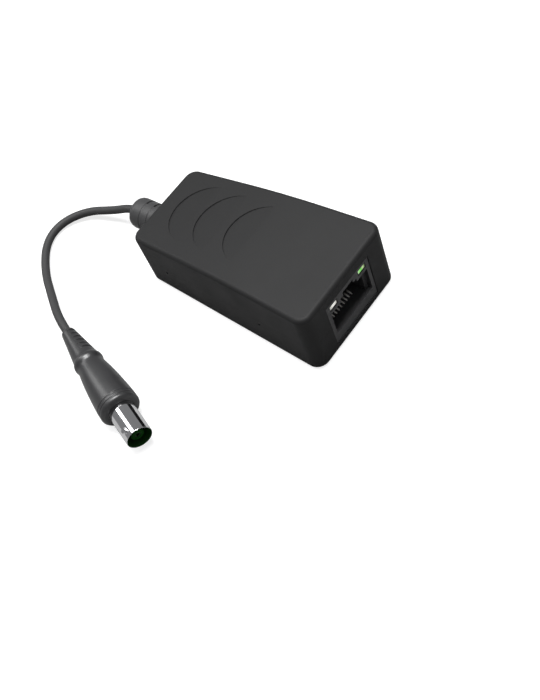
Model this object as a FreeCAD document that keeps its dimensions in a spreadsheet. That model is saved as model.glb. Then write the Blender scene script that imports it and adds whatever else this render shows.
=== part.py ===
import FreeCAD, Part
import math
import os
import Sketcher

# Ethernet over coax extender: a small tapered two-shell box with an RJ45 socket in its
# front end and, out of its rear end, a short coax lead that ends in a bayonet coax jack.
# Millimetres. Origin at the bottom centre of the box, +X towards the socket, +Z up.

doc = FreeCAD.newDocument("extender")
dim = doc.addObject("Spreadsheet::Sheet", "dim")

# Driving dimensions, one row each: name, value.
SIZES = [
    # how far a cutting tool runs past the face that it cuts
    ("overcut", 2.0),
    # the moulded box
    ("body_length", 56.7),
    ("front_width", 31.1),
    ("rear_width", 24.6),
    ("front_height", 18.3),
    ("rear_height", 15.5),
    ("flat_top_length", 27.1),
    ("wall", 1.4),
    ("corner_radius", 3.0),
    ("top_edge_radius", 1.2),
    ("bottom_edge_radius", 0.7),
    ("parting_height", 8.7),
    ("tongue_height", 1.0),
    ("tongue_clearance", 0.08),
    ("snap_height", 0.25),
    ("snap_length", 5.0),
    ("snap_rear_place", 9.2),
    ("snap_front_place", 16.8),
    ("dimple_radius", 0.35),
    ("dimple_depth", 0.3),
    ("dimple_drop", 1.6),
    # the three crescent recesses in the sloped lid
    ("recess_radius", 9.0),
    ("recess_depth", 0.6),
    ("recess_run", 7.8),
    ("recess_rear", 5.4),
    ("recess_middle", 13.7),
    ("recess_front", 23.4),
    ("recess_side", 0.5),
    # the socket
    ("jack_width", 16.2),
    ("jack_depth", 16.0),
    ("jack_bottom", 1.95),
    ("jack_setback", 0.2),
    ("jack_clearance", 0.1),
    ("rail_width", 1.2),
    ("port_width", 11.9),
    ("mouth_width", 14.1),
    ("mouth_depth", 1.2),
    ("port_crown", 3.2),
    ("port_floor", 2.75),
    ("port_depth", 12.6),
    ("latch_wide", 6.3),
    ("latch_narrow", 3.9),
    ("latch_step", 1.0),
    ("lamp_width", 3.0),
    ("lamp_height", 1.5),
    ("lamp_length", 9.0),
    ("lamp_drop", 0.8),
    ("lamp_pin_radius", 0.25),
    ("lamp_pin_slack", 0.1),
    ("lamp_pin_rear", 1.2),
    ("lamp_pin_front", 3.74),
    ("lamp_spacing", 11.0),
    ("lamp_setback", 0.15),
    ("lamp_clearance", 0.05),
    ("contact_pitch", 1.02),
    ("contact_radius", 0.18),
    ("contact_sink", 0.75),
    ("contact_inset", 0.75),
    ("contact_slot", 0.56),
    ("contact_front", 3.8),
    ("contact_rise", 2.6),
    ("peg_radius", 1.2),
    ("peg_spacing", 11.4),
    ("peg_place", 5.5),
    # the circuit board under the lid and what hangs from it
    ("board_thickness", 1.0),
    ("board_width", 22.4),
    ("board_length", 32.5),
    ("board_setback", 0.4),
    ("board_clearance", 0.1),
    ("tail_room", 0.9),
    ("tail_length", 0.7),
    ("post_radius", 1.3),
    ("stake_radius", 0.7),
    ("stake_head", 0.6),
    ("post_inset", 1.4),
    ("front_post_setback", 4.0),
    ("rear_post_setback", 1.6),
    ("part_gap", 0.7),
    ("transformer_length", 12.7),
    ("transformer_width", 6.9),
    ("transformer_height", 4.0),
    ("chip_size", 6.8),
    ("chip_height", 1.4),
    ("lead_foot", 0.55),
    ("lead_width", 0.3),
    ("stand_off", 0.1),
    ("coupler_size", 5.8),
    ("coupler_height", 5.0),
    ("bobbin_inset", 0.6),
    ("bobbin_reach", 0.1),
    ("bobbin_drop", 1.1),
    ("coil_size", 5.0),
    ("coil_height", 3.0),
    ("capacitor_radius", 2.5),
    ("capacitor_height", 5.4),
    ("capacitor_foot", 0.8),
    ("capacitor_gap", 0.4),
    ("crystal_length", 3.2),
    ("crystal_width", 2.5),
    ("crystal_height", 1.0),
    ("crystal_setback", 0.2),
    # the strain relief and the coax lead
    ("cable_radius", 1.1),
    ("gland_radius", 4.1),
    ("gland_length", 13.0),
    ("gland_height", 5.9),
    ("gland_rounding", 1.8),
    ("neck_radius", 3.0),
    ("flange_radius", 4.0),
    ("flange_length", 1.6),
    ("saddle_thickness", 1.4),
    ("slot_pitch", 2.6),
    ("slot_width", 0.7),
    ("slot_depth", 0.6),
    ("slot_first", 1.6),
    ("core_radius", 0.45),
    ("drain_radius", 0.4),
    ("solder_inset", 0.7),
    ("lead_drop", 0.6),
    ("lead_front_run", 5.6),
    ("lead_last_run", 8.5),
    ("jacket_rear_run", 4.5),
    ("jacket_front_run", 3.0),
    ("core_side", 0.4),
    ("drain_side", 0.6),
    # the moulded coax plug at the far end
    ("tail_end_radius", 1.75),
    ("tail_root_radius", 3.3),
    ("waist_radius", 3.42),
    ("tail_run", 10.8),
    ("collar_radius", 3.7),
    ("collar_run", 2.2),
    ("hood_radius", 4.95),
    ("hood_run", 15.1),
    ("hood_nose", 0.9),
    ("notch_first", 1.0),
    ("notch_pitch", 1.5),
    ("notch_width", 0.6),
    ("notch_depth", 0.55),
    ("barrel_radius", 3.2),
    ("barrel_bore", 2.7),
    ("barrel_length", 8.9),
    ("barrel_root", 4.0),
    ("barrel_floor", 5.6),
    ("lug_radius", 0.7),
    ("lug_reach", 0.55),
    ("lug_place", 2.0),
    ("dielectric_radius", 1.65),
    ("dielectric_setback", 0.9),
    ("contact_tube_radius", 0.75),
    ("contact_tube_bore", 0.45),
    ("contact_tube_depth", 3.5),
    ("contact_tube_tail", 1.6),
    ("floor_gap", 0.5),
    ("rim_chamfer", 0.15),
    ("ferrule_radius", 1.7),
    ("ferrule_length", 5.0),
    ("moulding_clearance", 0.02),
]
# What follows from them, again one row each: name, formula.
DERIVED = [
    ("half_length", "body_length / 2"),
    ("taper", "(front_width - rear_width) / 2 / body_length"),
    ("bend_place", "half_length - flat_top_length"),
    ("slope", "(front_height - rear_height) / (body_length - flat_top_length)"),
    ("ceiling", "front_height - wall"),
    ("jack_face", "half_length - jack_setback"),
    ("jack_back", "jack_face - jack_depth"),
    ("board_front", "half_length - wall - board_setback"),
    ("board_rear", "board_front - board_length"),
    ("side_inside", "front_width / 2 - taper * (half_length - board_rear) - wall - board_clearance"),
    ("board_half", "min(board_width / 2; side_inside)"),
    ("roof_inside", "ceiling - slope * max(0; bend_place - board_rear) - board_clearance"),
    ("board_top", "min(ceiling - tail_room; roof_inside)"),
    ("jack_top", "board_top - board_thickness"),
    ("port_base", "jack_bottom + port_floor"),
    ("port_top", "jack_top - port_crown"),
    ("lamp_top", "jack_top - lamp_drop"),
    ("contact_level", "port_base - contact_sink"),
    ("contact_back", "jack_back + contact_inset"),
    ("hood_back", "hood_nose + hood_run"),
    ("tail_root", "hood_back + collar_run"),
    ("tail_end", "tail_root + tail_run"),
    ("tail_swell", "tail_root_radius - tail_end_radius"),
]
rows = [(alias, str(value)) for alias, value in SIZES]
rows += [(alias, "=" + formula) for alias, formula in DERIVED]
for row, (alias, content) in enumerate(rows, 1):
    dim.set("A%d" % row, alias)
    dim.set("B%d" % row, content)
    dim.setAlias("B%d" % row, alias)
doc.recompute()


def size(alias):
    """One driving dimension as a plain number."""
    return float(dim.get(alias))


NODES = []


def node(obj, name):
    """Marks an object as one finished piece of the product."""
    obj.Label = name
    NODES.append(obj)
    return obj


def box(name, x_low, x_high, y_low, y_high, z_low, z_high):
    """A box between six expressions."""
    made = doc.addObject("Part::Box", name)
    spans = (("Length", "x", x_low, x_high), ("Width", "y", y_low, y_high), ("Height", "z", z_low, z_high))
    for side, axis, low, high in spans:
        made.setExpression(side, "(%s) - (%s)" % (high, low))
        made.setExpression("Placement.Base.%s" % axis, low)
    return made


def rod(name, radius, length, x, y, z, along):
    """A cylinder whose start is at three expressions, along +X, +Y or +Z."""
    made = doc.addObject("Part::Cylinder", name)
    turns = {"x": FreeCAD.Rotation(FreeCAD.Vector(0, 1, 0), 90),
             "y": FreeCAD.Rotation(FreeCAD.Vector(1, 0, 0), -90),
             "z": FreeCAD.Rotation()}
    made.Placement = FreeCAD.Placement(FreeCAD.Vector(), turns[along])
    made.setExpression("Radius", radius)
    made.setExpression("Height", length)
    for axis, place in (("x", x), ("y", y), ("z", z)):
        made.setExpression("Placement.Base.%s" % axis, place)
    return made


def fuse(name, pieces):
    """Several solids joined into one."""
    made = doc.addObject("Part::MultiFuse", name)
    made.Shapes = pieces
    made.Refine = True
    return made


def cut(name, base, tools):
    """A solid less one tool or several."""
    made = doc.addObject("Part::Cut", name)
    made.Base = base
    made.Tool = tools[0] if len(tools) == 1 else fuse(name + "_tools", tools)
    made.Refine = True
    return made


def common(name, base, tool):
    """What two solids share."""
    made = doc.addObject("Part::Common", name)
    made.Base = base
    made.Tool = tool
    return made


def outline_sketch(body, name, plane, points, offset=None):
    """A closed outline on one of the body's own planes, each corner at two expressions."""
    sketch = body.newObject("Sketcher::SketchObject", name)
    own = [f for f in body.Origin.OriginFeatures if f.Role == plane][0]
    sketch.AttachmentSupport = [(own, "")]
    sketch.MapMode = "FlatFace"
    if offset:
        sketch.setExpression("AttachmentOffset.Base.z", offset)
    count = len(points)
    start = [FreeCAD.Vector(math.cos(2 * math.pi * i / count), math.sin(2 * math.pi * i / count), 0)
             for i in range(count)]
    for i in range(count):
        sketch.addGeometry(Part.LineSegment(start[i] * 9, start[(i + 1) % count] * 9), False)
    for i in range(count):
        sketch.addConstraint(Sketcher.Constraint("Coincident", i, 2, (i + 1) % count, 1))
    for i, (across, up) in enumerate(points):
        for kind, expression, origin_axis in (("DistanceX", across, -2), ("DistanceY", up, -1)):
            if expression == "0":
                sketch.addConstraint(Sketcher.Constraint("PointOnObject", i, 1, origin_axis))
            else:
                at = start[i].x if kind == "DistanceX" else start[i].y
                number = sketch.addConstraint(Sketcher.Constraint(kind, -1, 1, i, 1, at * 9))
                sketch.setExpression("Constraints[%d]" % number, expression)
    return sketch


def edge_names(shape, wanted):
    """Names of the edges that pass a test on the edge and its faces' normals."""
    names = []
    for number, edge in enumerate(shape.Edges, 1):
        normals = []
        for face in shape.ancestorsOfType(edge, Part.Face):
            low_u, high_u, low_v, high_v = face.ParameterRange
            normals.append(face.normalAt((low_u + high_u) / 2, (low_v + high_v) / 2))
        if wanted(edge, normals):
            names.append("Edge%d" % number)
    return names


def fillet(body, name, names, radius):
    """Rounds the named edges of the body's last feature."""
    last = body.Tip
    made = body.newObject("PartDesign::Fillet", name)
    made.Base = (last, names)
    made.setExpression("Radius", radius)
    body.Tip = made
    doc.recompute()
    return made


def is_upright(edge, normals):
    """True for an edge that runs along Z."""
    first, last = edge.Vertexes[0].Point, edge.Vertexes[-1].Point
    return abs(first.x - last.x) + abs(first.y - last.y) < 1e-4 < abs(first.z - last.z)


def on_lid(edge, normals):
    """True for an edge between the lid and a side wall."""
    tilts = sorted(abs(n.z) for n in normals)
    return len(tilts) == 2 and tilts[0] < 0.2 and tilts[1] > 0.9 and max(n.z for n in normals) > 0.9


def on_floor(edge, normals):
    """True for an edge between the underside and a side wall."""
    tilts = sorted(abs(n.z) for n in normals)
    return len(tilts) == 2 and tilts[0] < 0.2 and min(n.z for n in normals) < -0.9


def tapered_block(name, inset, low, high, radius):
    """The box's plan shape, drawn in by an inset, with its upright corners rounded."""
    body = doc.addObject("PartDesign::Body", name)
    far = "dim.half_length - (%s)" % inset
    drawn = "(%s) * sqrt(1 + dim.taper * dim.taper)" % inset
    front = "dim.front_width / 2 - (%s) * dim.taper - %s" % (inset, drawn)
    rear = "dim.rear_width / 2 + (%s) * dim.taper - %s" % (inset, drawn)
    corners = [(far, "-(%s)" % front), (far, front), ("-(%s)" % far, rear), ("-(%s)" % far, "-(%s)" % rear)]
    sketch = outline_sketch(body, name + "_plan", "XY_Plane", corners, low)
    pad = body.newObject("PartDesign::Pad", name + "_pad")
    pad.Profile = sketch
    pad.setExpression("Length", "(%s) - (%s)" % (high, low))
    body.Tip = pad
    doc.recompute()
    fillet(body, name + "_corners", edge_names(pad.Shape, is_upright), radius)
    return body


def slope_lid(body, name, drop):
    """Takes the rear half of the lid down along its slope, lowered by a drop."""
    behind = "-(dim.half_length + dim.overcut)"
    ahead = "(dim.bend_place + dim.overcut)"
    crown = "dim.front_height + dim.overcut"
    line = "dim.front_height + dim.slope * (%s - dim.bend_place) - (%s)"
    outline = [(behind, line % (behind, drop)), (ahead, line % (ahead, drop)),
               (ahead, crown), (behind, crown)]
    sketch = outline_sketch(body, name + "_line", "XZ_Plane", outline)
    pocket = body.newObject("PartDesign::Pocket", name + "_slope")
    pocket.Profile = sketch
    pocket.Midplane = True
    pocket.setExpression("Length", "dim.front_width * 2")
    body.Tip = pocket
    doc.recompute()


def tube_solid(points, radius):
    """A round tube along straight runs joined by tangent arcs, and its bend radii."""
    spots = [FreeCAD.Vector(*p) for p in points]
    edges = []
    radii = []
    start = spots[0]
    for i in range(1, len(spots) - 1):
        back = spots[i - 1] - spots[i]
        ahead = spots[i + 1] - spots[i]
        reach = 0.45 * min(back.Length, ahead.Length)
        turn = math.pi - back.getAngle(ahead)
        radii.append(reach / math.tan(turn / 2))
        back.normalize()
        ahead.normalize()
        leave = spots[i] + back * reach
        meet = spots[i] + ahead * reach
        middle = back + ahead
        middle.normalize()
        crest = spots[i] + middle * (radii[-1] / math.cos(turn / 2) - radii[-1])
        edges.append(Part.LineSegment(start, leave).toShape())
        edges.append(Part.Arc(leave, crest, meet).toShape())
        start = meet
    edges.append(Part.LineSegment(start, spots[-1]).toShape())
    path = Part.Wire(edges)
    heading = spots[1] - spots[0]
    ring = Part.Wire(Part.makeCircle(radius, spots[0], heading))
    return path.makePipeShell([ring], True, True), path.Length, radii


def tube(name, points, radius):
    """A finished piece of tube in the document."""
    solid, length, radii = tube_solid(points, radius)
    made = doc.addObject("Part::Feature", name)
    made.Shape = solid
    made.Placement = FreeCAD.Placement()
    section = math.pi * radius ** 2 * length
    print("%s: length %.1f, volume ratio %.4f, radii %s"
          % (name, length, solid.Volume / section, [round(r, 2) for r in radii]))
    return node(made, name)


def revolved(name, points, angle=360.0):
    """A body turned about its own X axis from an outline of (along, radius) expressions."""
    body = doc.addObject("PartDesign::Body", name)
    sketch = outline_sketch(body, name + "_outline", "XY_Plane", points)
    turned = body.newObject("PartDesign::Revolution", name + "_turned")
    turned.Profile = sketch
    turned.ReferenceAxis = (sketch, ["H_Axis"])
    turned.Angle = angle
    body.Tip = turned
    doc.recompute()
    return body


def end_rims(body, along, radius):
    """Names of the circular edges of one radius at one place along a turned body."""
    return edge_names(body.Shape, lambda edge, normals: edge.Closed
                      and abs(edge.Length - 2 * math.pi * radius) < 0.01
                      and abs(edge.BoundBox.Center.x - along) < 0.01)


# The moulded shells

outer = tapered_block("outer", "0", "0", "dim.front_height", "dim.corner_radius")
slope_lid(outer, "outer", "0")
fillet(outer, "outer_lid_edge", edge_names(outer.Shape, on_lid), "dim.top_edge_radius")
fillet(outer, "outer_floor_edge", edge_names(outer.Shape, on_floor), "dim.bottom_edge_radius")

inner_corner = "max(dim.corner_radius - dim.wall; 0.4)"
cavity = tapered_block("cavity", "dim.wall", "dim.wall", "dim.ceiling", inner_corner)
slope_lid(cavity, "cavity", "dim.wall * sqrt(1 + dim.slope * dim.slope)")
walls = cut("walls", outer, [cavity])

lid_side = box("lid_side", "-dim.body_length", "dim.body_length", "-dim.front_width", "dim.front_width",
               "dim.parting_height", "dim.front_height + dim.overcut")
tray_side = box("tray_side", "-dim.body_length", "dim.body_length", "-dim.front_width", "dim.front_width",
                "-dim.overcut", "dim.parting_height")
rear_outside = "-(dim.half_length + dim.overcut)"
rear_inside = "-(dim.half_length - dim.wall)"
tab_zone = box("tab_zone", rear_outside, rear_inside, "-dim.neck_radius", "dim.neck_radius",
               "dim.gland_height", "dim.parting_height + dim.tongue_height * 1.5")
tab = common("tab", walls, tab_zone)
tab_slot = box("tab_slot", rear_outside, rear_inside + " + 0.5",
               "-(dim.neck_radius + dim.tongue_clearance)", "dim.neck_radius + dim.tongue_clearance",
               "dim.gland_height", "dim.parting_height + dim.tongue_height * 2")

window = box("window", "dim.half_length - dim.wall - dim.overcut / 2", "dim.half_length + dim.overcut",
             "-(dim.jack_width / 2 + dim.jack_clearance)", "dim.jack_width / 2 + dim.jack_clearance",
             "dim.jack_bottom - dim.jack_clearance", "dim.jack_top + dim.jack_clearance")
gland_hole = rod("gland_hole", "dim.neck_radius + dim.moulding_clearance", "dim.wall + 2 * dim.overcut",
                 rear_outside, "0", "dim.gland_height", "x")

TONGUE_TOP = "dim.parting_height + dim.tongue_height"
tongue_outside = tapered_block("tongue_outside", "dim.wall / 2 + dim.tongue_clearance",
                               "dim.parting_height - 0.5", TONGUE_TOP, "dim.corner_radius / 2 + 0.75")
tongue_inside = tapered_block("tongue_inside", "dim.wall", "dim.parting_height - 1",
                              TONGUE_TOP + " + 1", inner_corner)
tongue = cut("tongue", tongue_outside, [tongue_inside])
rebate_block = tapered_block("rebate_block", "dim.wall / 2", "dim.parting_height - 1",
                             TONGUE_TOP + " + dim.tongue_clearance", "dim.corner_radius / 2 + 0.75")
rebate = cut("rebate", rebate_block, [tab_zone])


SNAP_PLACES = (("rear", "(dim.snap_rear_place - dim.half_length)"),
               ("front", "(dim.half_length - dim.snap_front_place)"))


def snap_ring(name, reach, slack):
    """The stretches of rib that click the shells together, two on each long side."""
    low = "dim.parting_height + dim.tongue_height * 0.3 - (%s)" % slack
    high = "dim.parting_height + dim.tongue_height * 0.75 + (%s)" % slack
    ring = tapered_block(name + "_ring", "dim.wall / 2 - (%s)" % reach, low, high,
                         "dim.corner_radius / 2 + 1")
    half = "(dim.snap_length / 2 + %s)" % slack
    spans = []
    for side, place in SNAP_PLACES:
        spans.append(box("%s_%s_span" % (name, side), "%s - %s" % (place, half), "%s + %s" % (place, half),
                         "-dim.front_width", "dim.front_width", low, high))
    stretch = common(name + "_stretch", ring, fuse(name + "_spans", spans))
    return cut(name, stretch, [tapered_core])


tapered_core = tapered_block("tapered_core", "dim.wall * 0.9", "dim.parting_height - 1",
                             TONGUE_TOP + " + 1", "dim.corner_radius / 2")
snap_rib = snap_ring("snap_rib", "dim.snap_height", "0")
snap_groove = snap_ring("snap_groove", "dim.snap_height + dim.tongue_clearance", "dim.tongue_clearance")

# Three crescents in the sloped lid: tilted discs, deepest at their rear.
DISC_TILT = "atan(dim.slope + dim.recess_depth / dim.recess_run)"
discs = []
for place in ("rear", "middle", "front"):
    apex = "(dim.recess_%s - dim.half_length)" % place
    disc = doc.addObject("Part::Cylinder", "recess_disc_" + place)
    disc.Placement = FreeCAD.Placement(FreeCAD.Vector(), FreeCAD.Rotation(FreeCAD.Vector(0, 1, 0), -10))
    disc.setExpression("Radius", "dim.recess_radius")
    disc.setExpression("Height", "dim.overcut * 3")
    disc.setExpression("Placement.Rotation.Angle", "-" + DISC_TILT)
    disc.setExpression("Placement.Base.x", "%s + dim.recess_radius * cos(%s)" % (apex, DISC_TILT))
    disc.setExpression("Placement.Base.y", "dim.recess_side")
    disc.setExpression("Placement.Base.z", "dim.front_height - dim.slope * (dim.bend_place - %s)"
                       " - dim.recess_depth + dim.recess_radius * sin(%s)" % (apex, DISC_TILT))
    discs.append(disc)

# Posts under the lid carry the board, each with a stake through it.
POST_ROWS = ("dim.board_front - dim.front_post_setback", "dim.board_rear + dim.rear_post_setback")
POST_SIDE = "(dim.board_half - dim.post_inset)"
post_places = []
for row, along in enumerate(POST_ROWS, 1):
    for side, across in (("left", POST_SIDE), ("right", "-" + POST_SIDE)):
        post_places.append(("%d_%s" % (row, side), along, across))
posts = []
for place, along, across in post_places:
    posts.append(rod("post_" + place, "dim.post_radius", "dim.ceiling - dim.board_top + 0.5",
                     along, across, "dim.board_top", "z"))
    posts.append(rod("stake_" + place, "dim.stake_radius", "dim.board_thickness + dim.stake_head * 2",
                     along, across, "dim.jack_top - dim.stake_head", "z"))
post_trim = common("post_trim", outer, fuse("posts", posts))

lid_walls = common("lid_walls", walls, lid_side)
lid_body = fuse("lid_body", [lid_walls, tab, post_trim])
lid_cuts = discs + [rebate, snap_groove, window, gland_hole]
node(cut("top_shell", lid_body, lid_cuts), "top_shell")

# Rails on the floor of the tray hold the socket up from below.
rails = []
for side, across in (("left", "dim.jack_width / 4"), ("right", "-dim.jack_width / 4")):
    rails.append(box("rail_" + side, "dim.jack_back + 1", "dim.half_length - dim.wall + 0.5",
                     across + " - dim.rail_width / 2", across + " + dim.rail_width / 2",
                     "dim.wall / 2", "dim.jack_bottom - dim.moulding_clearance"))
# A saddle behind the rear wall keeps the strain relief's inner flange from being pulled out.
saddle_front = "(dim.wall + dim.flange_length + dim.jack_clearance - dim.half_length)"
saddle = box("saddle", saddle_front, saddle_front + " + dim.saddle_thickness",
             "-dim.flange_radius", "dim.flange_radius", "dim.wall / 2", "dim.gland_height")
saddle_notch = rod("saddle_notch", "dim.cable_radius + 0.3", "dim.saddle_thickness + dim.overcut",
                   saddle_front + " - dim.overcut / 2", "0", "dim.gland_height", "x")
saddle_cut = cut("saddle_cut", saddle, [saddle_notch])

# Small round dimples in the long sides, below the parting line.
dimples = []
for row, along in SNAP_PLACES:
    half_there = "(dim.front_width / 2 - dim.taper * (dim.half_length - %s))" % along
    for side, across in (("left", half_there + " - dim.dimple_depth"),
                         ("right", "-%s - dim.overcut" % half_there)):
        dimples.append(rod("dimple_%s_%s" % (row, side), "dim.dimple_radius",
                           "dim.overcut + dim.dimple_depth", along, across,
                           "dim.parting_height - dim.dimple_drop", "y"))

tray_walls = common("tray_walls", walls, tray_side)
tray_body = fuse("tray_body", [tray_walls, tongue, snap_rib] + rails + [saddle_cut])
tray_cuts = [window, gland_hole, tab_slot] + dimples
node(cut("bottom_shell", tray_body, tray_cuts), "bottom_shell")

# The socket, hanging from the board with its latch side up

jack_block = box("jack_block", "dim.jack_back", "dim.jack_face", "-dim.jack_width / 2",
                 "dim.jack_width / 2", "dim.jack_bottom", "dim.jack_top")
LATCH_STEP = "dim.port_top + dim.latch_step"
LATCH_END = "dim.port_top + dim.latch_step * 2"
port_corners = [
    ("-dim.port_width / 2", "dim.port_base"),
    ("dim.port_width / 2", "dim.port_base"),
    ("dim.port_width / 2", "dim.port_top"),
    ("dim.latch_wide / 2", "dim.port_top"),
    ("dim.latch_wide / 2", LATCH_STEP),
    ("dim.latch_narrow / 2", LATCH_STEP),
    ("dim.latch_narrow / 2", LATCH_END),
    ("-dim.latch_narrow / 2", LATCH_END),
    ("-dim.latch_narrow / 2", LATCH_STEP),
    ("-dim.latch_wide / 2", LATCH_STEP),
    ("-dim.latch_wide / 2", "dim.port_top"),
    ("-dim.port_width / 2", "dim.port_top"),
]
port = doc.addObject("PartDesign::Body", "port")
port_sketch = outline_sketch(port, "port_outline", "YZ_Plane", port_corners,
                             "dim.jack_face - dim.port_depth")
port_pad = port.newObject("PartDesign::Pad", "port_pad")
port_pad.Profile = port_sketch
port_pad.setExpression("Length", "dim.port_depth + dim.overcut")
port.Tip = port_pad

JACK_PAST = "dim.jack_face + dim.overcut"
mouth = box("mouth", "dim.jack_face - dim.mouth_depth", JACK_PAST, "-dim.mouth_width / 2",
            "dim.mouth_width / 2", "dim.port_base", "dim.port_top")

LAMP_SIDES = (("left", "dim.lamp_spacing / 2"), ("right", "-dim.lamp_spacing / 2"))
LAMP_PINS = (("rear", "dim.lamp_pin_rear"), ("front", "dim.lamp_pin_front"))
LAMP_PIN_HOLE = "dim.lamp_pin_radius + dim.lamp_pin_slack"
LAMP_BACK = "(dim.jack_face - dim.lamp_setback - dim.lamp_length)"
jack_cuts = [port, mouth]
for side, middle in LAMP_SIDES:
    half = "(dim.lamp_width / 2 + dim.lamp_clearance)"
    jack_cuts.append(box("lamp_pocket_" + side, LAMP_BACK + " - dim.lamp_clearance", JACK_PAST,
                         "%s - %s" % (middle, half), "%s + %s" % (middle, half),
                         "dim.lamp_top - dim.lamp_height - dim.lamp_clearance",
                         "dim.lamp_top + dim.lamp_clearance"))
    for pin, ahead in LAMP_PINS:
        jack_cuts.append(rod("lamp_pin_hole_%s_%s" % (side, pin), LAMP_PIN_HOLE,
                             "dim.lamp_drop + dim.overcut", "%s + %s" % (LAMP_BACK, ahead), middle,
                             "dim.lamp_top - dim.lamp_height / 2", "z"))

CONTACT_ROWS = ["(%s) * dim.contact_pitch" % (number - 3.5) for number in range(8)]
for number, across in enumerate(CONTACT_ROWS, 1):
    left = "%s - dim.contact_slot / 2" % across
    right = "%s + dim.contact_slot / 2" % across
    jack_cuts.append(box("comb_%d" % number, "dim.jack_back - dim.overcut",
                         "dim.jack_face - dim.contact_front + 0.6", left, right,
                         "dim.contact_level - dim.contact_slot / 2", "dim.port_base + 0.4"))
    jack_cuts.append(box("riser_%d" % number, "dim.jack_back - dim.overcut",
                         "dim.contact_back + dim.contact_slot / 2", left, right,
                         "dim.contact_level", "dim.jack_top + dim.overcut"))
PEG_SIDES = (("left", "dim.peg_spacing / 2"), ("right", "-dim.peg_spacing / 2"))
PEG_PLACE = "dim.jack_back + dim.peg_place"
pegs = []
for side, across in PEG_SIDES:
    pegs.append(rod("jack_peg_" + side, "dim.peg_radius", "dim.board_thickness + 0.5",
                    PEG_PLACE, across, "dim.jack_top", "z"))
jack_hollow = cut("jack_hollow", jack_block, jack_cuts)
node(fuse("jack_housing", [jack_hollow] + pegs), "jack_housing")

# Two lamps behind the windows in the socket's upper corners, each with two pins.
for side, middle in LAMP_SIDES:
    lens = box("lens_" + side, LAMP_BACK, "dim.jack_face - dim.lamp_setback",
               "%s - dim.lamp_width / 2" % middle, "%s + dim.lamp_width / 2" % middle,
               "dim.lamp_top - dim.lamp_height", "dim.lamp_top")
    pins = []
    for pin, ahead in LAMP_PINS:
        pins.append(rod("lamp_pin_%s_%s" % (side, pin), "dim.lamp_pin_radius",
                        "dim.board_top + dim.tail_length - dim.lamp_top + 0.3",
                        "%s + %s" % (LAMP_BACK, ahead), middle, "dim.lamp_top - 0.3", "z"))
    node(fuse("lamp_" + side, [lens] + pins), "lamp_" + side)

# Eight sprung contact strips, from their tails in the board to the port.
FOLD = "(dim.jack_face - dim.contact_front)"
SPRING_TIP = "(dim.jack_face - dim.port_depth + 2.4)"
SPRING_TOP = "(dim.port_base + dim.contact_rise)"
HALF_STRIP = "dim.contact_radius"
strip_outline = [
    ("dim.contact_back - " + HALF_STRIP, "dim.board_top + dim.tail_length"),
    ("dim.contact_back - " + HALF_STRIP, "dim.contact_level - " + HALF_STRIP),
    (FOLD, "dim.contact_level - " + HALF_STRIP),
    (FOLD + " + 2 * " + HALF_STRIP, "dim.contact_level + " + HALF_STRIP),
    (FOLD + " + 2 * " + HALF_STRIP, "dim.contact_level + 3 * " + HALF_STRIP),
    (SPRING_TIP, SPRING_TOP + " + " + HALF_STRIP),
    (SPRING_TIP, SPRING_TOP + " - " + HALF_STRIP),
    (FOLD, "dim.contact_level + " + HALF_STRIP),
    ("dim.contact_back + " + HALF_STRIP, "dim.contact_level + " + HALF_STRIP),
    ("dim.contact_back + " + HALF_STRIP, "dim.board_top + dim.tail_length"),
]
for number, across in enumerate(CONTACT_ROWS, 1):
    strip_name = "jack_contact_%d" % number
    strip = doc.addObject("PartDesign::Body", strip_name)
    strip_sketch = outline_sketch(strip, strip_name + "_outline", "XZ_Plane", strip_outline)
    strip_pad = strip.newObject("PartDesign::Pad", strip_name + "_pad")
    strip_pad.Profile = strip_sketch
    strip_pad.Midplane = True
    strip_pad.setExpression("Length", "2 * " + HALF_STRIP)
    strip.Tip = strip_pad
    strip.setExpression("Placement.Base.y", across)
    node(strip, strip_name)

# The circuit board and what hangs from it

board_blank = box("board_blank", "dim.board_rear", "dim.board_front", "-dim.board_half", "dim.board_half",
                  "dim.jack_top", "dim.board_top")
board_holes = []


def board_hole(name, radius, along, across):
    """One round hole through the board."""
    board_holes.append(rod(name, radius, "dim.board_thickness + dim.overcut", along, across,
                           "dim.jack_top - dim.overcut / 2", "z"))


for place, along, across in post_places:
    board_hole("stake_hole_" + place, "dim.stake_radius + dim.board_clearance", along, across)
for side, across in PEG_SIDES:
    board_hole("peg_hole_" + side, "dim.peg_radius + dim.board_clearance", PEG_PLACE, across)
for side, middle in LAMP_SIDES:
    for pin, ahead in LAMP_PINS:
        board_hole("lamp_hole_%s_%s" % (side, pin), LAMP_PIN_HOLE, "%s + %s" % (LAMP_BACK, ahead), middle)
TAIL_HOLE = "(%s + dim.board_clearance)" % HALF_STRIP
for number, across in enumerate(CONTACT_ROWS, 1):
    board_holes.append(box("contact_hole_%d" % number, "dim.contact_back - " + TAIL_HOLE,
                           "dim.contact_back + " + TAIL_HOLE, "%s - %s" % (across, TAIL_HOLE),
                           "%s + %s" % (across, TAIL_HOLE), "dim.jack_top - dim.overcut",
                           "dim.board_top + dim.overcut"))
node(cut("circuit_board", board_blank, board_holes), "circuit_board")


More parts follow.
